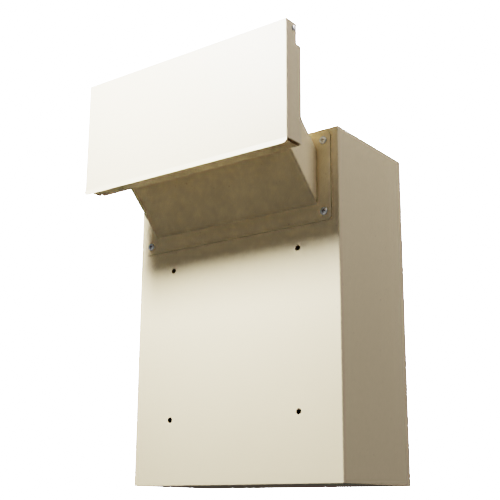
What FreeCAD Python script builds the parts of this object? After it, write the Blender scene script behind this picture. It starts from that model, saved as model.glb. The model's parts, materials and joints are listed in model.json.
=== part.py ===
import FreeCAD, Part

import os
import re

import Sketcher
from FreeCAD import Placement, Rotation, Vector

# Through-the-wall drop box, folded from sheet steel. All sizes are in millimetres.
# +X is to the right, +Y points indoors and +Z is up. The origin is the centre of the four
# mounting holes, in the plane of the mounting face, so everything outdoors has a negative Y.

SIZES = {
    # receptacle
    "box_width": 304.8,
    "box_height": 406.4,
    "box_depth": 152.4,
    "box_sheet": 1.5,
    "box_bend": 1.5,
    "foot": 173.1,              # from the mounting holes' centre down to the underside
    "hole_pitch_x": 190.5,
    "hole_pitch_z": 188.9,
    "hole_radius": 3.3,
    "window_margin": 2.0,       # the box's window is this much larger than the chute, all round
    # door frame, turned in from the sides and the caps
    "stile": 19.0,
    "jamb": 12.0,
    "stop_lip": 6.0,
    "weld_tab": 7.0,
    "weld_tab_depth": 110.0,
    # chute
    "chute_width": 247.7,
    "chute_drop": 65.9,         # height of the duct, measured straight up
    "chute_low": 140.9,         # its underside, carried down to the mounting face
    "chute_angle": 44.0,
    "chute_sheet": 1.5,
    "chute_bend": 1.5,
    "flange_width": 285.0,
    "flange_low": 121.2,
    "flange_high": 228.4,
    "flange_corner": 4.5,
    "screw_x": 133.1,
    "screw_low": 131.9,
    "screw_high": 218.7,
    # screws of the flange
    "screw_radius": 2.1,
    "screw_hole": 2.2,
    "screw_length": 10.0,
    "screw_head_radius": 4.7,
    "screw_head_height": 2.6,
    "screw_dome": 1.7,
    "screw_overlap": 0.2,       # how far a shank reaches into its head
    "recess_length": 5.0,
    "recess_width": 1.0,
    "recess_depth": 1.3,
    "washer_radius": 4.6,
    "washer_sheet": 0.8,
    "nut_radius": 4.5,
    "nut_height": 3.2,
    # head plate and its ears
    "head_face": 77.0,          # its outdoor face, from the mounting face
    "head_low": 184.6,
    "head_high": 300.0,
    "head_half": 151.2,
    "head_corner": 3.0,
    "ear_radius": 5.8,
    "ear_neck": 18.0,
    "ear_foot": 45.0,
    # lid
    "lid_width": 306.6,
    "lid_face": 105.2,
    "lid_back": 77.3,
    "lid_low": 178.0,
    "lid_high": 325.8,
    "lid_sheet": 1.2,
    "lid_bend": 1.4,
    "lid_return_low": 184.4,
    "lid_return_half": 147.5,
    "lid_step": 300.9,
    "lid_top_depth": 19.2,
    "lip_kick": 1.2,
    "lip_corner": 5.0,
    # pivots of the lid
    "pivot_back": 91.7,
    "pivot_high": 317.8,
    "pivot_radius": 2.5,
    "pivot_hole": 2.55,
    "pivot_inner": 149.4,       # the shoulder's inner end
    "pivot_thread_radius": 1.7,
    "pivot_thread_length": 4.2,
    "pivot_head_radius": 3.5,
    "pivot_head_height": 1.9,
    "pivot_dome": 1.2,
    "thread_clearance": 0.05,
    "spacer_radius": 5.0,
    "spacer_sheet": 0.6,
    "pivot_nut_radius": 3.7,
    "pivot_nut_height": 2.9,
    # indoor door
    "door_gap": 1.5,
    "door_sheet": 1.5,
    "door_return": 11.7,
    # continuous hinge
    "knuckle_radius": 2.4,
    "knuckle_bore": 1.25,
    "pin_radius": 1.2,
    "leaf_sheet": 1.0,
    "leaf_width": 15.0,
    "leaf_relief": 2.75,        # from the pin's axis to a leaf where the other leaf's knuckle is
    "knuckle_pitch": 25.4,
    "knuckle_gap": 0.3,
    "rivet_radius": 1.6,
    "rivet_hole": 1.65,
    "rivet_head_radius": 2.9,
    "rivet_head_height": 0.9,
    "rivet_tail_radius": 2.3,
    "rivet_tail_height": 1.0,
    "rivet_inset": 9.5,         # from the pin's axis to the rivets' line
    # cam lock
    "lock_inset": 22.0,
    "barrel_radius": 9.2,
    "barrel_hole": 9.3,
    "barrel_length": 12.2,
    "barrel_flange_radius": 11.5,
    "barrel_flange_height": 2.0,
    "plug_radius": 6.0,
    "plug_bore": 6.05,
    "plug_proud": 0.3,
    "keyway_length": 7.5,
    "keyway_width": 1.2,
    "keyway_depth": 4.0,
    "cam_gap": 0.3,
    "cam_sheet": 2.0,
    "cam_width": 14.0,
    "cam_length": 33.0,
    "square_side": 6.0,
    "square_hole": 6.1,
    "stud_radius": 2.5,
    "stud_length": 4.0,
    "cam_nut_radius": 5.6,
    "cam_nut_height": 3.0,
    "lock_nut_radius": 13.0,
    "lock_nut_height": 3.0,
}

KNUCKLES = 14
RIVETS = 7

# Lengths that several pieces share, as expressions of the sheet.
HALF = "(box_width / 2)"
TOP = "(box_height - foot)"
RISE = "tan(chute_angle * 1 deg)"
WALL_DROP = "(chute_sheet / cos(chute_angle * 1 deg))"
OPENING = "(box_width / 2 - stile)"
DOOR_HALF = "(box_width / 2 - stile - door_gap)"
DOOR_LOW = "(stile + door_gap - foot)"
DOOR_HIGH = "(box_height - foot - stile - door_gap)"
DOOR_MIDDLE = "(box_height / 2 - foot)"
HINGE_X = "(box_width / 2 - stile - door_gap / 2)"
HINGE_Y = "(box_depth + knuckle_radius)"
LOCK_X = "(lock_inset + stile + door_gap - box_width / 2)"
CAM_FACE = "(box_depth - barrel_length - cam_gap)"
LID_HALF = "(lid_width / 2)"
SCREW_PLACES = [(side, level) for side in (-1, 1) for level in ("screw_low", "screw_high")]

doc = FreeCAD.newDocument("drop_box")
sheet = doc.addObject("Spreadsheet::Sheet", "Sizes")
for row, (alias, number) in enumerate(SIZES.items(), start=1):
    sheet.set(f"A{row}", alias)
    sheet.set(f"B{row}", str(number))
    sheet.setAlias(f"B{row}", alias)
doc.recompute()

subparts = []
HAIR = 0.01         # too small a length to matter


# ---------------------------------------------------------------- helpers

def formula(text):
    """An expression of the sheet, from one written with bare aliases."""
    def named(word):
        return f"Sizes.{word[0]}" if word[0] in SIZES else word[0]

    return re.sub(r"[a-z][a-z_]+", named, str(text))


def value(text):
    """What an expression of the sheet comes to now."""
    result = sheet.evalExpression(formula(text))
    return float(getattr(result, "Value", result))


def bind(item, **expressions):
    """Bind an object's properties to expressions of the sheet; AT_x stands for Placement.Base.x."""
    for name, text in expressions.items():
        item.setExpression(name.replace("AT_", "Placement.Base."), formula(text))


def keep(item, label):
    """Label a finished sub-part and put it on the list of those to write."""
    item.Label = label
    subparts.append(item)
    return item


def new_body(label):
    return keep(doc.addObject("PartDesign::Body", label), label)


def new_sketch(body, plane, offset="0"):
    """A sketch on one of the body's own origin planes, moved along the plane's normal."""
    sketch = body.newObject("Sketcher::SketchObject", "Sketch")
    support = next(item for item in body.Origin.OriginFeatures if item.Role == plane)
    sketch.AttachmentSupport = [(support, "")]
    sketch.MapMode = "FlatFace"
    sketch.setExpression("AttachmentOffset.Base.z", formula(offset))
    return sketch


def place(sketch, geometry, point, across, up):
    """Tie one point of the sketch to the origin with two distances from the sheet."""
    for kind, text in (("DistanceX", across), ("DistanceY", up)):
        tie = Sketcher.Constraint(kind, -1, 1, geometry, point, value(text))
        index = sketch.addConstraint(tie)
        sketch.setExpression(f"Constraints[{index}]", formula(text))


def outline(sketch, corners):
    """A closed, straight-sided outline through corners given as pairs of expressions."""
    first = sketch.GeometryCount
    points = [Vector(value(across), value(up), 0) for across, up in corners]
    count = len(points)
    for index in range(count):
        sketch.addGeometry(Part.LineSegment(points[index], points[(index + 1) % count]), False)
    for index in range(count):
        joint = Sketcher.Constraint("Coincident", first + index, 2, first + (index + 1) % count, 1)
        sketch.addConstraint(joint)
    for index, (across, up) in enumerate(corners):
        place(sketch, first + index, 1, across, up)


def rectangle(sketch, left, low, right, high):
    outline(sketch, [(left, low), (right, low), (right, high), (left, high)])


def circle(sketch, across, up, radius):
    centre = Vector(value(across), value(up), 0)
    index = sketch.addGeometry(Part.Circle(centre, Vector(0, 0, 1), value(radius)), False)
    size = sketch.addConstraint(Sketcher.Constraint("Radius", index, value(radius)))
    sketch.setExpression(f"Constraints[{size}]", formula(radius))
    place(sketch, index, 3, across, up)


def pad(body, sketch, length, backwards=False):
    """Add the sketch's area to the body, along its normal or against it."""
    feature = body.newObject("PartDesign::Pad", "Pad")
    feature.Profile = sketch
    feature.Reversed = backwards
    bind(feature, Length=length)
    doc.recompute()
    return feature


def pocket(body, sketch, length, backwards=False):
    """Cut the sketch's area out of the body, against its normal or along it."""
    before = body.Shape.Volume
    feature = body.newObject("PartDesign::Pocket", "Pocket")
    feature.Profile = sketch
    feature.Reversed = backwards
    bind(feature, Length=length)
    doc.recompute()
    if body.Shape.Volume >= before - HAIR:
        raise RuntimeError(f"a pocket of {body.Label} cuts nothing")
    return feature


def round_edges(body, radius, chosen):
    """Fillet the edges that the test picks from the body as it stands."""
    names = [f"Edge{number}" for number, edge in enumerate(body.Shape.Edges, start=1)
             if chosen(edge)]
    if not names:
        raise RuntimeError(f"no edge of {body.Label} to round")
    base = body.Tip
    feature = body.newObject("PartDesign::Fillet", "Bend")
    feature.Base = (base, names)
    bind(feature, Radius=radius)
    doc.recompute()
    return feature


def straight(edge, direction):
    """Whether an edge is a straight one along a direction."""
    if len(edge.Vertexes) != 2 or not isinstance(edge.Curve, Part.Line):
        return False
    run = edge.Vertexes[1].Point.sub(edge.Vertexes[0].Point)
    return run.Length > HAIR and abs(run.dot(direction)) > 0.9999 * run.Length


def near(number, text):
    """Whether a number is what an expression comes to."""
    return abs(number - value(text)) < HAIR


def cylinder(radius, height, turn, x=0, y=0, z=0):
    """A cylinder whose axis is turned from +Z, with its base's centre at x, y, z."""
    item = doc.addObject("Part::Cylinder", "Cylinder")
    item.Placement = Placement(Vector(), turn)
    bind(item, Radius=radius, Height=height, AT_x=x, AT_y=y, AT_z=z)
    return item


def hexagon(radius, height, turn, x, y, z):
    """A six-sided prism, of the given corner radius, placed like a cylinder."""
    item = doc.addObject("Part::Prism", "Prism")
    item.Polygon = 6
    item.Placement = Placement(Vector(), turn)
    bind(item, Circumradius=radius, Height=height, AT_x=x, AT_y=y, AT_z=z)
    return item


def block(long, wide, high, x, y, z):
    """A block whose lowest corner is at x, y, z."""
    item = doc.addObject("Part::Box", "Box")
    bind(item, Length=long, Width=wide, Height=high, AT_x=x, AT_y=y, AT_z=z)
    return item


def fuse(*items):
    joined = doc.addObject("Part::MultiFuse", "Fusion")
    joined.Shapes = list(items)
    return joined


def cut(base, tool):
    result = doc.addObject("Part::Cut", "Cut")
    result.Base = base
    result.Tool = tool
    return result


def domed(head, radius, on_rim):
    """A screw head with the rim rounded whose centre passes the test."""
    doc.recompute()
    rim = next(number for number, edge in enumerate(head.Shape.Edges, start=1)
               if isinstance(edge.Curve, Part.Circle) and on_rim(edge.Curve.Center))
    result = doc.addObject("Part::Fillet", "Dome")
    result.Base = head
    result.Edges = [(rim, value(radius), value(radius))]
    return result


def group(label, members):
    """Several separate solids in one sub-part."""
    result = doc.addObject("Part::Compound", label)
    result.Links = members
    return keep(result, label)


# Turns that take +Z to the named direction.
INDOORS = Rotation(Vector(0, 0, 1), Vector(0, 1, 0))
OUTDOORS = Rotation(Vector(0, 0, 1), Vector(0, -1, 0))
RIGHT = Rotation(Vector(0, 0, 1), Vector(1, 0, 0))
LEFT = Rotation(Vector(0, 0, 1), Vector(-1, 0, 0))
UP = Rotation()


# ---------------------------------------------------------------- receptacle

def duct_level(back, edge):
    """The height of one of the duct's four slanted lines, a given way out from the mounting face."""
    above = {
        "underside": "0",
        "floor": WALL_DROP,
        "ceiling": f"chute_drop - {WALL_DROP}",
        "top": "chute_drop",
    }
    return f"(chute_low + ({back}) * {RISE} + {above[edge]})"


def body_shell():
    """Front panel, two sides and the door frame's stiles, folded from one sheet."""
    body = new_body("body_shell")
    profile = new_sketch(body, "XY_Plane", "box_sheet - foot")
    half_profile = [
        (HALF, "0"),
        (HALF, "box_depth"),
        (OPENING, "box_depth"),
        (OPENING, "box_depth - jamb"),
        (f"{OPENING} + box_sheet", "box_depth - jamb"),
        (f"{OPENING} + box_sheet", "box_depth - box_sheet"),
        (f"{HALF} - box_sheet", "box_depth - box_sheet"),
        (f"{HALF} - box_sheet", "box_sheet"),
    ]
    mirrored = [(f"-({across})", up) for across, up in half_profile]
    outline(profile, half_profile + mirrored[::-1])
    pad(body, profile, "box_height - 2 * box_sheet")
    upright = Vector(0, 0, 1)
    round_edges(body, "box_bend", lambda edge: straight(edge, upright)
                and near(abs(edge.Vertexes[0].X), HALF))

    holes = new_sketch(body, "XZ_Plane")
    for side in (-1, 1):
        for level in (-1, 1):
            circle(holes, f"{side} * hole_pitch_x / 2", f"{level} * hole_pitch_z / 2", "hole_radius")
    for side, level in SCREW_PLACES:
        circle(holes, f"{side} * screw_x", level, "screw_hole")
    window_half = "(chute_width / 2 - chute_sheet + window_margin)"
    rectangle(holes, f"-{window_half}", f"{duct_level('0', 'floor')} - window_margin",
              window_half, f"{duct_level('0', 'ceiling')} + window_margin")
    pocket(body, holes, "2 * box_sheet")

    rivet_holes = new_sketch(body, "XZ_Plane", "-box_depth")
    for number in range(RIVETS):
        circle(rivet_holes, f"{HINGE_X} + rivet_inset", rivet_level(number), "rivet_hole")
    pocket(body, rivet_holes, "2 * box_sheet", backwards=True)


def cap(label, level, inward):
    """Top or bottom of the box, with weld tabs, the frame's rail, its jamb and the door's stop lip."""
    def at(height):
        return f"{level} + ({inward}) * ({height})"

    downward = inward < 0
    body = new_body(label)
    plate = new_sketch(body, "XY_Plane", level)
    rectangle(plate, f"-{HALF}", "0", HALF, "box_depth")
    pad(body, plate, "box_sheet", downward)
    upright = Vector(0, 0, 1)
    round_edges(body, "box_bend", lambda edge: straight(edge, upright))

    tabs = new_sketch(body, "XY_Plane", at("box_sheet"))
    outer = f"({HALF} - box_sheet)"
    inner = f"({HALF} - 2 * box_sheet)"
    outline(tabs, [
        (f"-{outer}", "box_sheet"), (outer, "box_sheet"),
        (outer, "weld_tab_depth"), (inner, "weld_tab_depth"),
        (inner, "2 * box_sheet"), (f"-{inner}", "2 * box_sheet"),
        (f"-{inner}", "weld_tab_depth"), (f"-{outer}", "weld_tab_depth"),
    ])
    pad(body, tabs, "weld_tab", downward)

    rail = new_sketch(body, "YZ_Plane", f"-{OPENING}")
    outline(rail, [
        ("box_depth - box_sheet", at("box_sheet")),
        ("box_depth", at("box_sheet")),
        ("box_depth", at("stile")),
        ("box_depth - jamb", at("stile")),
        ("box_depth - jamb", at("stile + stop_lip")),
        ("box_depth - jamb - box_sheet", at("stile + stop_lip")),
        ("box_depth - jamb - box_sheet", at("stile - box_sheet")),
        ("box_depth - box_sheet", at("stile - box_sheet")),
    ])
    pad(body, rail, f"2 * {OPENING}")


# ---------------------------------------------------------------- chute

def duct_region(sketch, near_end, far_end, low, high, spare="0"):
    """A slanted four-sided area between two of the duct's lines, seen from the side."""
    outline(sketch, [
        (f"-({far_end})", duct_level(far_end, low)),
        (f"-({near_end})", duct_level(near_end, low)),
        (f"-({near_end})", f"{duct_level(near_end, high)} + {spare}"),
        (f"-({far_end})", f"{duct_level(far_end, high)} + {spare}"),
    ])


def chute_trough():
    """Floor and both sides of the duct, one folded sheet between the flange and the head plate."""
    body = new_body("chute_trough")
    duct_start = "box_sheet"
    duct_end = "head_face - chute_sheet"
    side = new_sketch(body, "YZ_Plane", "-chute_width / 2")
    duct_region(side, duct_start, duct_end, "underside", "ceiling")
    pad(body, side, "chute_width")
    slope = Vector(0, -1, value(RISE))
    slope.normalize()
    middle = value(duct_level("head_face / 2", "floor")) - value("head_face / 2") * value(RISE)
    round_edges(body, "chute_bend", lambda edge: straight(edge, slope)
                and edge.Vertexes[0].Z + edge.Vertexes[0].Y * value(RISE) < middle)
    hollow = new_sketch(body, "YZ_Plane", "chute_sheet - chute_width / 2")
    duct_region(hollow, "0", "head_face", "floor", "ceiling", "chute_sheet")
    pocket(body, hollow, "chute_width - 2 * chute_sheet", backwards=True)


def chute_cover():
    """Top sheet of the duct, lying on the trough's sides."""
    body = new_body("chute_cover")
    side = new_sketch(body, "YZ_Plane", "-chute_width / 2")
    duct_region(side, "box_sheet", "head_face - chute_sheet", "ceiling", "top")
    pad(body, side, "chute_width")


def duct_window(sketch, back):
    """The duct's clear section where it meets a plate."""
    half = "(chute_width / 2 - chute_sheet)"
    rectangle(sketch, f"-{half}", duct_level(back, "floor"), half, duct_level(back, "ceiling"))


def chute_flange():
    """Plate that carries the duct on the box's mounting face."""
    body = new_body("chute_flange")
    face = new_sketch(body, "XZ_Plane")
    rectangle(face, "-flange_width / 2", "flange_low", "flange_width / 2", "flange_high")
    pad(body, face, "box_sheet")
    through = Vector(0, 1, 0)
    round_edges(body, "flange_corner", lambda edge: straight(edge, through))
    holes = new_sketch(body, "XZ_Plane")
    for side, level in SCREW_PLACES:
        circle(holes, f"{side} * screw_x", level, "screw_hole")
    duct_window(holes, "box_sheet")
    pocket(body, holes, "2 * box_sheet", backwards=True)


def head_plate():
    """Plate at the outdoor end of the duct, with two ears turned out to carry the lid."""
    body = new_body("head_plate")
    face = new_sketch(body, "XZ_Plane", "head_face - chute_sheet")
    rectangle(face, "-head_half", "head_low", "head_half", "head_high")
    pad(body, face, "chute_sheet")
    through = Vector(0, 1, 0)
    round_edges(body, "head_corner", lambda edge: straight(edge, through))
    mouth = new_sketch(body, "XZ_Plane", "head_face")
    duct_window(mouth, "head_face - chute_sheet")
    pocket(body, mouth, "2 * chute_sheet")

    for side in (-1, 1):
        start = "head_half - chute_sheet" if side > 0 else "-head_half"
        ear = new_sketch(body, "YZ_Plane", start)
        outline(ear, [
            ("-head_face", "pivot_high - ear_foot"),
            ("-head_face", "pivot_high - ear_neck"),
            ("ear_radius - pivot_back", "pivot_high - ear_neck"),
            ("ear_radius - pivot_back", "pivot_high + ear_radius"),
            ("-pivot_back - ear_radius", "pivot_high + ear_radius"),
            ("-pivot_back - ear_radius", "pivot_high - ear_neck"),
        ])
        pad(body, ear, "chute_sheet")
    across = Vector(1, 0, 0)
    round_edges(body, f"ear_radius - {HAIR}", lambda edge: straight(edge, across)
                and near(edge.Vertexes[0].Z, "pivot_high + ear_radius"))
    pivots = new_sketch(body, "YZ_Plane", "-head_half - 1")
    circle(pivots, "-pivot_back", "pivot_high", "pivot_hole")
    pocket(body, pivots, "2 * head_half + 2", backwards=True)


def cross_recess(x, y, z, along_y):
    """The driver's cross in a screw head: two crossing blocks sunk along Y or along X."""
    arms = []
    for long, wide in (("recess_length", "recess_width"), ("recess_width", "recess_length")):
        if along_y:
            arms.append(block(long, "recess_depth", wide,
                              f"{x} - {long} / 2", y, f"{z} - {wide} / 2"))
        else:
            arms.append(block("recess_depth", long, wide,
                              x, f"{y} - {long} / 2", f"{z} - {wide} / 2"))
    return fuse(*arms)


def chute_fasteners():
    """Screws through the flange and the box's front, with a washer and a nut indoors."""
    screws, washers, nuts = [], [], []
    head_end = "-box_sheet - screw_head_height"
    nut_face = "box_sheet + washer_sheet"
    for side, level in SCREW_PLACES:
        x = f"{side} * screw_x"
        head = cylinder("screw_head_radius", "screw_head_height", OUTDOORS, x, "-box_sheet", level)
        dome = domed(head, "screw_dome", lambda centre: near(centre.y, head_end))
        shank = cylinder("screw_radius", "screw_length", INDOORS,
                         x, "-box_sheet - screw_overlap", level)
        screws.append(cut(fuse(dome, shank), cross_recess(x, head_end, level, True)))
        ring = cylinder("washer_radius", "washer_sheet", INDOORS, x, "box_sheet", level)
        hole = cylinder("screw_hole", "washer_sheet", INDOORS, x, "box_sheet", level)
        washers.append(cut(ring, hole))
        body = hexagon("nut_radius", "nut_height", INDOORS, x, nut_face, level)
        nuts.append(cut(body, cylinder("screw_hole", "nut_height", INDOORS, x, nut_face, level)))
    group("chute_screws", screws)
    group("chute_washers", washers)
    group("chute_nuts", nuts)


# ---------------------------------------------------------------- lid

def lid():
    """Shallow pan: front panel with a kicked-out lip, top, bottom and side returns."""
    body = new_body("lid")
    inside = "(lid_sheet - lid_face)"
    section = new_sketch(body, "YZ_Plane", f"-{LID_HALF}")
    outline(section, [
        ("-lid_face - lip_kick", "lid_low"),
        (f"{inside} - lip_kick", "lid_low"),
        (inside, "lid_return_low"),
        (inside, "lid_high - lid_sheet"),
        ("lid_top_depth - lid_face", "lid_high - lid_sheet"),
        ("lid_top_depth - lid_face", "lid_high"),
        ("-lid_face", "lid_high"),
        ("-lid_face", "lid_return_low"),
    ])
    pad(body, section, "lid_width")

    bottom = new_sketch(body, "XY_Plane", "lid_return_low")
    rectangle(bottom, "-lid_return_half", inside, "lid_return_half", "-lid_back")
    pad(body, bottom, "lid_sheet")

    for start in (f"-{LID_HALF}", f"{LID_HALF} - lid_sheet"):
        side = new_sketch(body, "YZ_Plane", start)
        outline(side, [
            (inside, "lid_return_low"),
            ("-lid_back", "lid_return_low"),
            ("-lid_back", "lid_step"),
            ("lid_top_depth - lid_face", "lid_step"),
            ("lid_top_depth - lid_face", "lid_high - lid_sheet"),
            (inside, "lid_high - lid_sheet"),
        ])
        pad(body, side, "lid_sheet")

    through = Vector(0, 1, 0)
    upright = Vector(0, 0, 1)
    across = Vector(1, 0, 0)
    round_edges(body, "lip_corner", lambda edge: near(abs(edge.BoundBox.XMax), LID_HALF)
                and near(abs(edge.BoundBox.XMin), LID_HALF) and near(edge.BoundBox.ZMax, "lid_low")
                and edge.BoundBox.XLength < HAIR and straight(edge, through))
    round_edges(body, "lid_bend", lambda edge: near(edge.Vertexes[0].Y, "-lid_face")
                and near(abs(edge.Vertexes[0].X), LID_HALF) and straight(edge, upright))
    round_edges(body, "lid_bend", lambda edge: near(edge.Vertexes[0].Y, "-lid_face")
                and near(edge.Vertexes[0].Z, "lid_high") and straight(edge, across))
    pivots = new_sketch(body, "YZ_Plane", f"-{LID_HALF} - 1")
    circle(pivots, "-pivot_back", "pivot_high", "pivot_hole")
    pocket(body, pivots, "lid_width + 2", backwards=True)


def lid_fasteners():
    """Shoulder screws that the lid swings on, with a spacer outside each ear and a nut inside it."""
    screws, spacers, nuts = [], [], []
    shoulder_length = f"{LID_HALF} - pivot_inner"
    spacer_outer = f"({LID_HALF} - lid_sheet)"
    head_end = f"({LID_HALF} + pivot_head_height)"
    for side, outward, inward in ((-1, LEFT, RIGHT), (1, RIGHT, LEFT)):
        def along(distance):
            return f"{side} * ({distance})"

        height = "pivot_high"
        back = "-pivot_back"
        head = cylinder("pivot_head_radius", "pivot_head_height", outward,
                        along(LID_HALF), back, height)
        dome = domed(head, "pivot_dome", lambda centre: near(abs(centre.x), head_end))
        shoulder = cylinder("pivot_radius", shoulder_length, inward, along(LID_HALF), back, height)
        thread = cylinder("pivot_thread_radius", "pivot_thread_length", inward,
                          along("pivot_inner"), back, height)
        recess_start = f"{head_end} - recess_depth" if side > 0 else f"-{head_end}"
        recess = cross_recess(recess_start, back, height, False)
        screws.append(cut(fuse(dome, shoulder, thread), recess))
        ring = cylinder("spacer_radius", "spacer_sheet", inward, along(spacer_outer), back, height)
        bore = cylinder("pivot_hole", "spacer_sheet", inward, along(spacer_outer), back, height)
        spacers.append(cut(ring, bore))
        prism = hexagon("pivot_nut_radius", "pivot_nut_height", inward,
                        along("pivot_inner"), back, height)
        hole = cylinder("pivot_thread_radius + thread_clearance", "pivot_nut_height", inward,
                        along("pivot_inner"), back, height)
        nuts.append(cut(prism, hole))
    group("pivot_screws", screws)
    group("pivot_spacers", spacers)
    group("pivot_nuts", nuts)


# ---------------------------------------------------------------- indoor door

def rivet_level(number):
    """Height of one rivet, in the middle of the first knuckle of each pair."""
    return f"({DOOR_MIDDLE} + {2 * number + 1 - KNUCKLES / 2} * knuckle_pitch)"


def knuckle_low(number):
    return f"({DOOR_MIDDLE} + {number - KNUCKLES / 2} * knuckle_pitch + knuckle_gap / 2)"


def door_panel():
    """Access door: a folded pan that lies flush in the frame."""
    body = new_body("door_panel")
    face = new_sketch(body, "XZ_Plane", "door_sheet - box_depth")
    rectangle(face, f"-{DOOR_HALF}", DOOR_LOW, DOOR_HALF, DOOR_HIGH)
    pad(body, face, "door_sheet", backwards=True)
    returns = new_sketch(body, "XZ_Plane", "door_sheet - box_depth")
    rectangle(returns, f"-{DOOR_HALF}", DOOR_LOW, DOOR_HALF, DOOR_HIGH)
    rectangle(returns, f"door_sheet - {DOOR_HALF}", f"{DOOR_LOW} + door_sheet",
              f"{DOOR_HALF} - door_sheet", f"{DOOR_HIGH} - door_sheet")
    pad(body, returns, "door_return - door_sheet")
    holes = new_sketch(body, "XZ_Plane", "-box_depth")
    circle(holes, LOCK_X, DOOR_MIDDLE, "barrel_hole")
    for number in range(RIVETS):
        circle(holes, f"{HINGE_X} - rivet_inset", rivet_level(number), "rivet_hole")
    pocket(body, holes, "2 * door_sheet", backwards=True)


def hinge_leaf(label, side, first_knuckle):
    """One leaf of the continuous hinge, with every second knuckle."""
    body = new_body(label)
    far = f"{HINGE_X} + {side} * leaf_width"
    clear = f"{HINGE_X} + {side} * leaf_relief"
    low = knuckle_low(0)
    high = f"{knuckle_low(KNUCKLES - 1)} + knuckle_pitch - knuckle_gap"
    plate = new_sketch(body, "XZ_Plane", "-box_depth")
    rectangle(plate, clear, low, far, high)
    pad(body, plate, "leaf_sheet", backwards=True)
    for number in range(first_knuckle, KNUCKLES, 2):
        knuckle = new_sketch(body, "XY_Plane", knuckle_low(number))
        circle(knuckle, HINGE_X, HINGE_Y, "knuckle_radius")
        pad(body, knuckle, "knuckle_pitch - knuckle_gap")
        root = new_sketch(body, "XY_Plane", knuckle_low(number))
        rectangle(root, HINGE_X, "box_depth", clear, "box_depth + leaf_sheet")
        pad(body, root, "knuckle_pitch - knuckle_gap")
    bore = new_sketch(body, "XY_Plane", f"{low} - 1")
    circle(bore, HINGE_X, HINGE_Y, "knuckle_bore")
    pocket(body, bore, f"{KNUCKLES} * knuckle_pitch + 2", backwards=True)
    holes = new_sketch(body, "XZ_Plane", "-box_depth - leaf_sheet")
    for number in range(RIVETS):
        circle(holes, f"{HINGE_X} + {side} * rivet_inset", rivet_level(number), "rivet_hole")
    pocket(body, holes, "2 * leaf_sheet", backwards=True)


def hinge_pin():
    pin = cylinder("pin_radius", f"{KNUCKLES} * knuckle_pitch", UP,
                   HINGE_X, HINGE_Y, knuckle_low(0))
    keep(pin, "hinge_pin")


def hinge_rivets(label, side):
    """Rivets of one leaf: a low head on the leaf and a formed tail behind the sheet."""
    rivets = []
    x = f"{HINGE_X} + {side} * rivet_inset"
    leaf_face = "box_depth + leaf_sheet"
    sheet_back = "(box_depth - box_sheet)"
    for number in range(RIVETS):
        level = rivet_level(number)
        head = cylinder("rivet_head_radius", "rivet_head_height", INDOORS, x, leaf_face, level)
        shank = cylinder("rivet_radius", "box_sheet + leaf_sheet", OUTDOORS, x, leaf_face, level)
        tail = cylinder("rivet_tail_radius", "rivet_tail_height", OUTDOORS, x, sheet_back, level)
        rivets.append(fuse(head, shank, tail))
    group(label, rivets)


# ---------------------------------------------------------------- cam lock

def lock():
    """Quarter-turn cam lock: barrel and nut fixed in the door, plug with its cam and nut turning."""
    flange = cylinder("barrel_flange_radius", "barrel_flange_height", INDOORS,
                      LOCK_X, "box_depth", DOOR_MIDDLE)
    barrel = cylinder("barrel_radius", "barrel_length", OUTDOORS, LOCK_X, "box_depth", DOOR_MIDDLE)
    bore = cylinder("plug_bore", "barrel_length + barrel_flange_height", OUTDOORS,
                    LOCK_X, "box_depth + barrel_flange_height", DOOR_MIDDLE)
    keep(cut(fuse(flange, barrel), bore), "lock_barrel")

    nut_face = "box_depth - door_sheet"
    nut = hexagon("lock_nut_radius", "lock_nut_height", OUTDOORS, LOCK_X, nut_face, DOOR_MIDDLE)
    nut_bore = cylinder("barrel_hole", "lock_nut_height", OUTDOORS, LOCK_X, nut_face, DOOR_MIDDLE)
    keep(cut(nut, nut_bore), "lock_nut")

    plug_face = "(box_depth + barrel_flange_height + plug_proud)"
    plug = cylinder("plug_radius", f"{plug_face} - {CAM_FACE}", OUTDOORS,
                    LOCK_X, plug_face, DOOR_MIDDLE)
    square = block("square_side", "cam_sheet", "square_side", f"{LOCK_X} - square_side / 2",
                   f"{CAM_FACE} - cam_sheet", f"{DOOR_MIDDLE} - square_side / 2")
    stud = cylinder("stud_radius", "stud_length", OUTDOORS,
                    LOCK_X, f"{CAM_FACE} - cam_sheet", DOOR_MIDDLE)
    keyway = block("keyway_width", "keyway_depth", "keyway_length", f"{LOCK_X} - keyway_width / 2",
                   f"{plug_face} - keyway_depth", f"{DOOR_MIDDLE} - keyway_length / 2")
    keep(cut(fuse(plug, square, stud), keyway), "lock_plug")

    nut = hexagon("cam_nut_radius", "cam_nut_height", OUTDOORS,
                  LOCK_X, f"{CAM_FACE} - cam_sheet", DOOR_MIDDLE)
    bore = cylinder("stud_radius + thread_clearance", "cam_nut_height", OUTDOORS,
                    LOCK_X, f"{CAM_FACE} - cam_sheet", DOOR_MIDDLE)
    keep(cut(nut, bore), "cam_nut")

    body = new_body("lock_cam")
    face = new_sketch(body, "XZ_Plane", f"-{CAM_FACE}")
    rectangle(face, f"{LOCK_X} - cam_width / 2", f"{DOOR_MIDDLE} - cam_length",
              f"{LOCK_X} + cam_width / 2", f"{DOOR_MIDDLE} + cam_width / 2")
    pad(body, face, "cam_sheet")
    through = Vector(0, 1, 0)
    round_edges(body, f"cam_width / 2 - {HAIR}", lambda edge: straight(edge, through))
    hole = new_sketch(body, "XZ_Plane", f"-{CAM_FACE}")
    rectangle(hole, f"{LOCK_X} - square_hole / 2", f"{DOOR_MIDDLE} - square_hole / 2",
              f"{LOCK_X} + square_hole / 2", f"{DOOR_MIDDLE} + square_hole / 2")
    pocket(body, hole, "2 * cam_sheet", backwards=True)


# ---------------------------------------------------------------- build, check and write

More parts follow.
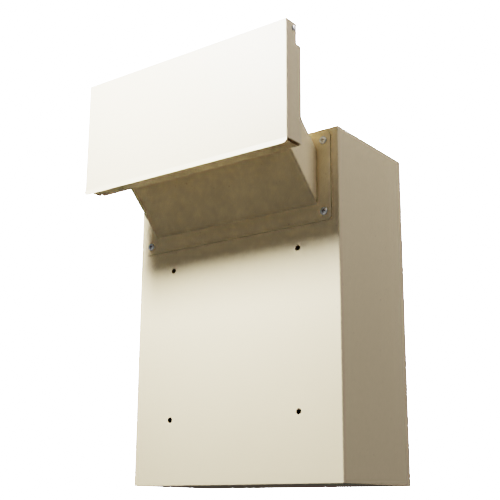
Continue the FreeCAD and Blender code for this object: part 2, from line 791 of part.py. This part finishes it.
def check():
    """Stop on any failed object, or on a sub-part whose shape is empty or not valid."""
    for item in doc.Objects:
        if "Invalid" in item.State or "Error" in item.State:
            raise RuntimeError(f"{item.Name} failed: {item.State}")
    for item in subparts:
        if item.Shape.isNull() or not item.Shape.isValid() or not item.Shape.Solids:
            raise RuntimeError(f"{item.Label} has no sound shape")


def write():
    os.makedirs("parts", exist_ok=True)
    for item in subparts:
        item.Shape.exportStep(f"parts/{item.Label}.step")
        print(f"{item.Label:16s} solids {len(item.Shape.Solids)}  volume {item.Shape.Volume:10.1f}")


body_shell()
cap("bottom_cap", "-foot", 1)
cap("top_cap", TOP, -1)
chute_trough()
chute_cover()
chute_flange()
head_plate()
chute_fasteners()
lid()
lid_fasteners()
door_panel()
hinge_leaf("hinge_leaf_body", 1, 0)
hinge_leaf("hinge_leaf_door", -1, 1)
hinge_pin()
hinge_rivets("body_rivets", 1)
hinge_rivets("door_rivets", -1)
lock()
doc.recompute()
check()
write()
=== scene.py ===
import json
import math

import bmesh
import bpy
from mathutils import Matrix, Vector


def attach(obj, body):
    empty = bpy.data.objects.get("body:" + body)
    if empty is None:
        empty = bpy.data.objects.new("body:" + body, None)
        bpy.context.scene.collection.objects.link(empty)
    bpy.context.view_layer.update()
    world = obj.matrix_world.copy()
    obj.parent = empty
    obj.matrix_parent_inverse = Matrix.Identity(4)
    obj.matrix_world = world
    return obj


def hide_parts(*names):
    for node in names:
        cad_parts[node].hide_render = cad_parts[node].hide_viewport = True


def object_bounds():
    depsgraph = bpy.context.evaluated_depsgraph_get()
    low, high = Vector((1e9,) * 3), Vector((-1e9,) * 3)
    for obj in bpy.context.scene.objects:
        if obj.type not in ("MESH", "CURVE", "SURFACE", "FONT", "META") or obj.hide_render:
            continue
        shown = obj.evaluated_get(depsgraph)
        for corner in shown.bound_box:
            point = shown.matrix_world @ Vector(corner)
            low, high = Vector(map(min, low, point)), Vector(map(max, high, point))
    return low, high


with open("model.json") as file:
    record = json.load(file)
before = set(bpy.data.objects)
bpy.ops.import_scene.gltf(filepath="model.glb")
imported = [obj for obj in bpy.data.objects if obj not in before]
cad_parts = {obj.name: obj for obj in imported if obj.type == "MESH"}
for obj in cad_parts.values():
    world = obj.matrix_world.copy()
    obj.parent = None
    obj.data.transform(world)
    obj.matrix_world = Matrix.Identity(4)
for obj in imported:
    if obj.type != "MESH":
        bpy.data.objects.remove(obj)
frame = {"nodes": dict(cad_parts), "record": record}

# Looks of a through-the-wall drop box in almond powder coat. Metres; +Z up, -Y outdoors.

CAD_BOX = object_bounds()
MM = 0.001
WHITE = (1, 1, 1, 1)
scene = bpy.context.scene


# ---------------------------------------------------------------- camera, light, stage

CAMERA_PLACE = Vector((0.6994, -0.8997, -0.2049))
CAMERA_AZIMUTH = math.radians(36.8)
CAMERA_ELEVATION = math.radians(-14.14)
CAMERA_ROLL = math.radians(0.33)
CAMERA_LENS = 69.57
CAMERA_SHIFT = 0.04

LIGHT_TARGET = Vector((0, 0, 0.05))
KEY_TARGET = Vector((0, 0, 0.2))

BACKDROP_STRENGTH = 40.0            # what the camera sees behind the box, white after Filmic
REFLECTED_STRENGTH = 0.14           # what glossy paint and metal reflect
FILL_FROM_BELOW = 0.01
FILL_FROM_ABOVE = 0.12
FILL_RANGE = (-0.95, 0.40)          # Z of the unit directions between which the fill grows

FLOOR_DROP = 0.42                   # below the box
FLOOR_REACH = 6.0                   # from the middle to each edge
FLOOR_GLOW = 1.2


def direction(azimuth, elevation):
    """The unit vector at an angle from straight in front, to the box's right, and an elevation."""
    flat = math.cos(elevation)
    return Vector((math.sin(azimuth) * flat, -math.cos(azimuth) * flat, math.sin(elevation)))


def make_camera():
    data = bpy.data.cameras.new("camera")
    data.lens = CAMERA_LENS
    data.shift_y = CAMERA_SHIFT
    camera = bpy.data.objects.new("camera", data)
    scene.collection.objects.link(camera)
    back = direction(CAMERA_AZIMUTH, CAMERA_ELEVATION)
    level = Vector((math.cos(CAMERA_AZIMUTH), math.sin(CAMERA_AZIMUTH), 0))
    upright = back.cross(level)
    right = level * math.cos(CAMERA_ROLL) + upright * math.sin(CAMERA_ROLL)
    up = upright * math.cos(CAMERA_ROLL) - level * math.sin(CAMERA_ROLL)
    turn = Matrix((right, up, back)).transposed()
    camera.matrix_world = Matrix.Translation(CAMERA_PLACE) @ turn.to_4x4()
    scene.camera = camera


def around(azimuth, elevation, distance):
    """A place around the box, with both angles in degrees."""
    return LIGHT_TARGET + distance * direction(math.radians(azimuth), math.radians(elevation))


def make_softbox(name, place, target, side, power, colour=(1.0, 1.0, 1.0), beam=180):
    """A square area light, turned to face a point, with a beam of so many degrees."""
    data = bpy.data.lights.new(name, "AREA")
    data.shape = "SQUARE"
    data.size = side
    data.energy = power
    data.color = colour
    data.spread = math.radians(beam)
    light = bpy.data.objects.new(name, data)
    light.location = place
    light.rotation_mode = "QUATERNION"
    light.rotation_quaternion = (target - place).to_track_quat("-Z", "Y")
    light.visible_camera = False
    scene.collection.objects.link(light)


def make_world():
    """White to the camera, grey in reflections, and otherwise a faint fill that grows upwards."""
    world = bpy.data.worlds.new("studio")
    scene.world = world
    world.use_nodes = True
    tree = world.node_tree
    tree.nodes.clear()
    seen = tree.nodes.new("ShaderNodeBackground")
    seen.inputs["Color"].default_value = WHITE
    seen.inputs["Strength"].default_value = BACKDROP_STRENGTH
    fill = tree.nodes.new("ShaderNodeBackground")
    fill.inputs["Color"].default_value = WHITE
    sky = tree.nodes.new("ShaderNodeTexCoord")
    parts = tree.nodes.new("ShaderNodeSeparateXYZ")
    tree.links.new(sky.outputs["Generated"], parts.inputs[0])
    soft = spread(tree, parts.outputs["Z"], FILL_FROM_BELOW, FILL_FROM_ABOVE, *FILL_RANGE)
    path = tree.nodes.new("ShaderNodeLightPath")
    reflected = spread(tree, path.outputs["Is Glossy Ray"], 0.0, REFLECTED_STRENGTH, 0.0, 1.0)
    tree.links.new(combined(tree, "MAXIMUM", soft, reflected), fill.inputs["Strength"])
    mix = tree.nodes.new("ShaderNodeMixShader")
    out = tree.nodes.new("ShaderNodeOutputWorld")
    tree.links.new(path.outputs["Is Camera Ray"], mix.inputs[0])
    tree.links.new(fill.outputs[0], mix.inputs[1])
    tree.links.new(seen.outputs[0], mix.inputs[2])
    tree.links.new(mix.outputs[0], out.inputs[0])


def make_stage():
    """A glowing floor, far enough below the box to stay under the low camera.

    The camera alone sees it: it lights nothing and shows in no reflection.
    """
    low = CAD_BOX[0].z - FLOOR_DROP
    corners = [(FLOOR_REACH * x, FLOOR_REACH * y, low)
               for x, y in ((-1, -1), (1, -1), (1, 1), (-1, 1))]
    mesh = bpy.data.meshes.new("floor")
    mesh.from_pydata(corners, [], [(0, 1, 2, 3)])
    floor = bpy.data.objects.new("floor", mesh)
    scene.collection.objects.link(floor)
    material, _, shader = new_material("floor")
    shader.inputs["Base Color"].default_value = (0.93, 0.93, 0.92, 1)
    shader.inputs["Roughness"].default_value = 0.9
    shader.inputs["Emission Color"].default_value = WHITE
    shader.inputs["Emission Strength"].default_value = FLOOR_GLOW
    mesh.materials.append(material)
    floor.visible_diffuse = False
    floor.visible_glossy = False


# ---------------------------------------------------------------- materials

# Noise scales, in patches a metre.
DRIFT_SCALE = 5.0
SHEEN_SCALE = 45.0
# patches that break up the painted edge highlight with wear
EDGE_PATCH_SCALE = 90.0
SPECK_SCALE = 260.0
MOTTLE_SCALE = 300.0
PEEL_SCALE = 420.0
STREAK_SCALE = 900.0
GRAIN_SCALE = 2200.0

PAINT_EDGE = 0.6 * MM               # radius that rounds a painted edge
METAL_EDGE = 0.25 * MM
CORNER_SHADE_REACH = 6.0 * MM               # how near a wall has to be for the painted shade in corners
# how near a wall has to be for the painted shade in a metal recess
RECESS_SHADE_REACH = 1.6 * MM
PEEL_DEPTH = 0.06 * MM
GRAIN_DEPTH = 0.02 * MM
SHADER_SAMPLES = 6                  # rays for rounding an edge or feeling out a corner

PAINT_COLOUR = (0.89, 0.772, 0.555)
# the lighter edge colour: a painted highlight, in patches like wear
EDGE_HIGHLIGHT_WEAR_COLOUR = (0.93, 0.88, 0.72)


def new_material(name):
    material = bpy.data.materials.new(name)
    material.use_nodes = True
    tree = material.node_tree
    return material, tree, tree.nodes["Principled BSDF"]


def noise(tree, scale, detail=2.0, stretch=None):
    """Noise in the object's own coordinates, which are the frame's metres."""
    place = tree.nodes.new("ShaderNodeTexCoord").outputs["Object"]
    if stretch:
        mapping = tree.nodes.new("ShaderNodeMapping")
        mapping.inputs["Scale"].default_value = stretch
        tree.links.new(place, mapping.inputs["Vector"])
        place = mapping.outputs["Vector"]
    texture = tree.nodes.new("ShaderNodeTexNoise")
    texture.inputs["Scale"].default_value = scale
    texture.inputs["Detail"].default_value = detail
    tree.links.new(place, texture.inputs["Vector"])
    return texture.outputs["Fac"]


def spread(tree, source, low, high, start=0.3, end=0.7):
    """The source, stretched from start..end to low..high."""
    node = tree.nodes.new("ShaderNodeMapRange")
    node.inputs["From Min"].default_value = start
    node.inputs["From Max"].default_value = end
    node.inputs["To Min"].default_value = low
    node.inputs["To Max"].default_value = high
    tree.links.new(source, node.inputs["Value"])
    return node.outputs["Result"]


def combined(tree, operation, first, second):
    """The result of one sum on two values."""
    node = tree.nodes.new("ShaderNodeMath")
    node.operation = operation
    tree.links.new(first, node.inputs[0])
    tree.links.new(second, node.inputs[1])
    return node.outputs[0]


def mix_colours(tree, factor, first, second):
    """From the first colour at 0 to the second at 1; each is a colour or a socket."""
    node = tree.nodes.new("ShaderNodeMix")
    node.data_type = "RGBA"
    tree.links.new(factor, node.inputs["Factor"])
    for socket, colour in ((node.inputs["A"], first), (node.inputs["B"], second)):
        if isinstance(colour, tuple):
            socket.default_value = (*colour, 1)
        else:
            tree.links.new(colour, socket)
    return node.outputs["Result"]


def bump(tree, height, depth, strength, normal):
    """The normal, dented by the height."""
    node = tree.nodes.new("ShaderNodeBump")
    node.inputs["Distance"].default_value = depth
    node.inputs["Strength"].default_value = strength
    tree.links.new(height, node.inputs["Height"])
    tree.links.new(normal, node.inputs["Normal"])
    return node.outputs["Normal"]


def tinted(colour, factor):
    return tuple(min(1.0, channel * factor) for channel in colour)


def rounded_normal(tree, radius):
    """The surface's normal with its sharp edges rounded."""
    node = tree.nodes.new("ShaderNodeBevel")
    node.samples = SHADER_SAMPLES
    node.inputs["Radius"].default_value = radius
    return node.outputs["Normal"]


def edges(tree, rounded):
    """1 along the edges that the rounded normal softens, and 0 on flat ground."""
    flat = tree.nodes.new("ShaderNodeNewGeometry")
    dot = tree.nodes.new("ShaderNodeVectorMath")
    dot.operation = "DOT_PRODUCT"
    tree.links.new(rounded, dot.inputs[0])
    tree.links.new(flat.outputs["Normal"], dot.inputs[1])
    return spread(tree, dot.outputs["Value"], 1.0, 0.0, 0.85, 0.99)


def openness(tree, distance):
    """1 in the open, and less in corners and recesses."""
    node = tree.nodes.new("ShaderNodeAmbientOcclusion")
    node.samples = SHADER_SAMPLES
    node.inputs["Distance"].default_value = distance
    return node.outputs["AO"]


def powder_coat(name):
    """Almond powder coat: drift in tone, orange peel, specks, painted shade in corners, and edges
    painted lighter as a highlight with wear.
    """
    material, tree, shader = new_material(name)
    drift = spread(tree, noise(tree, DRIFT_SCALE, 3.0), 0.0, 1.0)
    tone = mix_colours(tree, drift, tinted(PAINT_COLOUR, 0.985), tinted(PAINT_COLOUR, 1.01))
    specks = spread(tree, noise(tree, SPECK_SCALE, 1.0), 0.0, 0.5, 0.74, 0.80)
    tone = mix_colours(tree, specks, tone, tinted(PAINT_COLOUR, 0.78))
    # Painted shade: the paint is darkened in corners and recesses where the ambient occlusion
    # falls.
    corner_shade = spread(tree, openness(tree, CORNER_SHADE_REACH), 0.35, 0.0, 0.35, 0.85)
    tone = mix_colours(tree, corner_shade, tone, tinted(PAINT_COLOUR, 0.80))
    rounded = rounded_normal(tree, PAINT_EDGE)
    # Painted highlight: edges that the rounded normal softens are painted lighter, in patches like
    # wear; their roughness drops too.
    patches = spread(tree, noise(tree, EDGE_PATCH_SCALE, 3.0), 0.15, 0.75)
    edge_highlight_wear = combined(tree, "MULTIPLY", edges(tree, rounded), patches)
    tone = mix_colours(tree, edge_highlight_wear, tone, EDGE_HIGHLIGHT_WEAR_COLOUR)
    tree.links.new(tone, shader.inputs["Base Color"])
    sheen = spread(tree, noise(tree, SHEEN_SCALE, 3.0), 0.40, 0.42)
    smooth_edges = spread(tree, edge_highlight_wear, 1.0, 0.8, 0.0, 1.0)
    roughness = combined(tree, "MULTIPLY", sheen, smooth_edges)
    tree.links.new(roughness, shader.inputs["Roughness"])
    peel = bump(tree, noise(tree, PEEL_SCALE), PEEL_DEPTH, 0.4, rounded)
    grain = bump(tree, noise(tree, GRAIN_SCALE), GRAIN_DEPTH, 0.3, peel)
    tree.links.new(grain, shader.inputs["Normal"])
    return material


def plated_steel(name, colour, roughness, stretch=(1.0, 1.0, 1.0)):
    """Bright plated steel with painted shade in its recesses; a stretch draws its grain into
    streaks.
    """
    material, tree, shader = new_material(name)
    streaks = noise(tree, STREAK_SCALE, 3.0, stretch)
    tone = mix_colours(tree, spread(tree, streaks, 0.0, 1.0), tinted(colour, 0.84), colour)
    # Painted shade: the metal is painted nearly black in its recesses, such as a screw's cross.
    recess_shade = spread(tree, openness(tree, RECESS_SHADE_REACH), 0.9, 0.0, 0.25, 0.75)
    tone = mix_colours(tree, recess_shade, tone, tinted(colour, 0.16))
    tree.links.new(tone, shader.inputs["Base Color"])
    shader.inputs["Metallic"].default_value = 1.0
    uneven = spread(tree, streaks, roughness * 0.8, roughness * 1.3)
    tree.links.new(uneven, shader.inputs["Roughness"])
    brushed = bump(tree, streaks, GRAIN_DEPTH, 0.4, rounded_normal(tree, METAL_EDGE))
    tree.links.new(brushed, shader.inputs["Normal"])
    return material


def nylon(name):
    """Off-white nylon, a little translucent."""
    material, tree, shader = new_material(name)
    mottle = noise(tree, MOTTLE_SCALE)
    tone = mix_colours(tree, mottle, (0.70, 0.69, 0.62), (0.80, 0.79, 0.72))
    tree.links.new(tone, shader.inputs["Base Color"])
    shader.inputs["Roughness"].default_value = 0.45
    shader.inputs["Subsurface Weight"].default_value = 0.1
    return material


MATERIALS = {
    "box_paint": powder_coat("box_paint"),
    "lid_paint": powder_coat("lid_paint"),
    "fastener": plated_steel("fastener", (0.92, 0.92, 0.90), 0.32),
    "hinge_steel": plated_steel("hinge_steel", (0.80, 0.80, 0.78), 0.38, (1.0, 1.0, 0.05)),
    "lock_chrome": plated_steel("lock_chrome", (0.92, 0.92, 0.93), 0.16),
    "plug_steel": plated_steel("plug_steel", (0.84, 0.83, 0.80), 0.28, (1.0, 0.05, 1.0)),
    "nylon": nylon("nylon"),
}


# ---------------------------------------------------------------- turned pieces

OUTDOORS = Vector((0, -1, 0))
INDOORS = Vector((0, 1, 0))

FLANGE_FACE = -1.5 * MM             # outer face of the flange, where the chute's screws bear
SCREW_X = 133.1 * MM
SCREW_LEVELS = (131.9 * MM, 218.7 * MM)
PIVOT = Vector((153.3, -91.7, 317.8)) * MM
HINGE = Vector((132.65, 153.4, 30.1)) * MM
RIVET_INSET = 9.5 * MM
RIVET_PITCH = 50.8 * MM
RIVETS = 7
LOCK = Vector((-109.9, 152.4, 30.1)) * MM

SCREW_SIDES = 96                    # fine enough for a crisp cross recess
LOCK_SIDES = 72
RIVET_SIDES = 32
CROWN_STEP = 0.16                   # mm between the rings of a head's crown
RIM_RINGS = 6
SHARP_EDGE = math.radians(38)


def turned(form, rings, place, axis, sides, dip=None, hollow=False):
    """Add a turned solid: rings of (radius, height) in mm run from its tip down its outside.

    dip says how far its head is sunk at a point across the axis. A hollow one closes on itself.
    """
    turn = axis.to_track_quat("Z", "Y")
    rows = []
    for radius, height in rings:
        row = []
        for step in range(sides):
            angle = math.tau * step / sides
            across, up = radius * math.cos(angle), radius * math.sin(angle)
            sunk = dip(across, up) if dip and height > 0 else 0
            point = Vector((across, up, height - sunk))
            row.append(form.verts.new(place + turn @ point * MM))
        rows.append(row)
    pairs = list(zip(rows, rows[1:]))
    if hollow:
        pairs.append((rows[-1], rows[0]))
    for upper, lower in pairs:
        for step in range(sides):
            after = (step + 1) % sides
            form.faces.new((upper[step], lower[step], lower[after], upper[after]))
    if not hollow:
        form.faces.new(rows[0])
        form.faces.new(reversed(rows[-1]))


def as_piece(form, name, body, slot, *nodes):
    """Turn the form into an object that rides on a body and stands for the CAD nodes."""
    bmesh.ops.recalc_face_normals(form, faces=form.faces)
    mesh = bpy.data.meshes.new(name)
    form.to_mesh(mesh)
    form.free()
    mesh.shade_smooth()
    mesh.set_sharp_from_angle(angle=SHARP_EDGE)
    piece = bpy.data.objects.new(name, mesh)
    scene.collection.objects.link(piece)
    mesh.materials.append(MATERIALS[slot])
    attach(piece, body)
    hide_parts(*nodes)


def crown(radius, height, rise, corner):
    """Rings of a domed screw head, from its middle over the rounded rim to its bearing face."""
    straight = 0.25                 # share of the rim's height that isn't rounded
    flat = radius - corner
    count = int(flat / CROWN_STEP)
    rings = []
    for number in range(1, count + 1):
        out = flat * number / count
        rings.append((out, height - rise * (out / flat) ** 2))
    shoulder = height - rise
    for number in range(1, RIM_RINGS + 1):
        angle = math.radians(90) * number / RIM_RINGS
        level = shoulder * (straight + (1 - straight) * math.cos(angle))
        rings.append((flat + corner * math.sin(angle), level))
    rings.append((radius, 0.0))
    return rings


def thread(radius, depth, start, end, pitch):
    """Rings of a threaded shank, drawn as close grooves, from start down to end."""
    crest, root = 0.2 * pitch, 0.6 * pitch
    rings = []
    level = start
    while level > end + pitch:
        rings += [(radius, level), (radius, level - crest), (radius - depth, level - root)]
        level -= pitch
    rings += [(radius, level), (radius - depth, end)]
    return rings


def cross_recess(length, width, depth):
    """A driver's cross whose walls lean in and whose floor rises to the ends of its arms."""
    lean = 0.3 * width
    flatness = 1.4                  # above 1, so that the floor is level near the middle

    def arm(along, across):
        reach = 1 - (abs(along) / (length / 2)) ** 2
        wall = (width / 2 - abs(across)) / lean
        return depth * max(0.0, min(1.0, wall)) * max(0.0, min(1.0, flatness * reach))

    def dip(across, up):
        return max(arm(across, up), arm(up, across))
    return dip


def chute_screws():
    """Pan-head machine screws through the flange's corners."""
    head = crown(radius=4.7, height=2.6, rise=0.35, corner=1.9)
    neck = [(2.1, 0.0)]
    shank = thread(radius=2.1, depth=0.3, start=-0.4, end=-10.0, pitch=0.7)
    recess = cross_recess(length=5.4, width=1.25, depth=1.5)
    form = bmesh.new()
    for side in (-1, 1):
        for level in SCREW_LEVELS:
            place = Vector((side * SCREW_X, FLANGE_FACE, level))
            turned(form, head + neck + shank, place, OUTDOORS, SCREW_SIDES, recess)
    as_piece(form, "panhead_screws", "receptacle", "fastener", "chute_screws")


def pivot_screws():
    """Shoulder screws that the lid swings on."""
    head = crown(radius=3.5, height=1.9, rise=0.25, corner=1.3)
    shoulder = [(2.5, 0.0), (2.5, -3.7), (2.3, -3.9), (1.7, -3.9)]
    shank = thread(radius=1.7, depth=0.25, start=-4.1, end=-8.1, pitch=0.5)
    recess = cross_recess(length=3.8, width=0.95, depth=1.1)
    form = bmesh.new()
    for side in (-1, 1):
        place = Vector((side * PIVOT.x, PIVOT.y, PIVOT.z))
        outwards = Vector((side, 0, 0))
        turned(form, head + shoulder + shank, place, outwards, SCREW_SIDES, recess)
    as_piece(form, "shoulder_screws", "lid", "fastener", "pivot_screws")


def hinge_rivets(name, side, body, node):
    """Domed rivets of one leaf, with the upset tails behind the sheet."""
    head = [(0.3, 0.9), (1.0, 0.86), (1.7, 0.74), (2.3, 0.52), (2.7, 0.28), (2.9, 0.06)]
    shank = [(2.9, 0.0), (1.6, 0.0), (1.6, -2.5)]
    tail = [(2.1, -2.5), (2.3, -2.8), (2.2, -3.3), (1.8, -3.5), (0.3, -3.5)]
    form = bmesh.new()
    for number in range(RIVETS):
        level = HINGE.z + (number - RIVETS // 2) * RIVET_PITCH
        place = Vector((HINGE.x + side * RIVET_INSET, HINGE.y, level))
        turned(form, head + shank + tail, place, INDOORS, RIVET_SIDES)
    as_piece(form, name, body, "fastener", node)


def lock_barrel():
    """Chromed barrel with a rolled flange and a threaded body."""
    face = [(6.05, 1.6), (6.4, 2.0), (7.2, 2.0), (7.5, 1.82), (7.9, 1.82), (8.2, 2.0)]
    flange = [(9.8, 2.0), (10.6, 1.8), (11.2, 1.3), (11.5, 0.6), (11.5, 0.0), (9.2, 0.0)]
    body = thread(radius=9.2, depth=0.35, start=-0.6, end=-12.0, pitch=1.0)
    mouth = [(8.6, -12.2), (6.05, -12.2)]
    form = bmesh.new()
    turned(form, face + flange + body + mouth, LOCK, INDOORS, LOCK_SIDES, hollow=True)
    as_piece(form, "lock_shell", "door", "lock_chrome", "lock_barrel")


def dress_nodes():
    """Give each CAD node the material of its slot in the record."""
    for part in frame["record"]["subparts"]:
        node = frame["nodes"][part["node"]]
        node.data.materials.clear()
        node.data.materials.append(MATERIALS[part["material_slot"]])


make_camera()
make_world()
make_stage()
make_softbox("key", around(-16, 44.9, 0.88), KEY_TARGET, side=0.24, power=5.0, beam=100)
make_softbox("side", around(108, 42, 1.6), LIGHT_TARGET, side=0.8, power=8.6,
             colour=(1.0, 0.96, 0.99))
make_softbox("bounce", around(0, -24, 1.05), LIGHT_TARGET, side=0.6, power=0.9)
make_softbox("rear", around(196, 40, 2.0), LIGHT_TARGET, side=0.9, power=22.0)
dress_nodes()
chute_screws()
pivot_screws()
hinge_rivets("body_leaf_rivets", 1, "receptacle", "body_rivets")
hinge_rivets("door_leaf_rivets", -1, "door", "door_rivets")
lock_barrel()

scene.view_settings.view_transform = "Filmic"
scene.view_settings.look = "Very High Contrast"
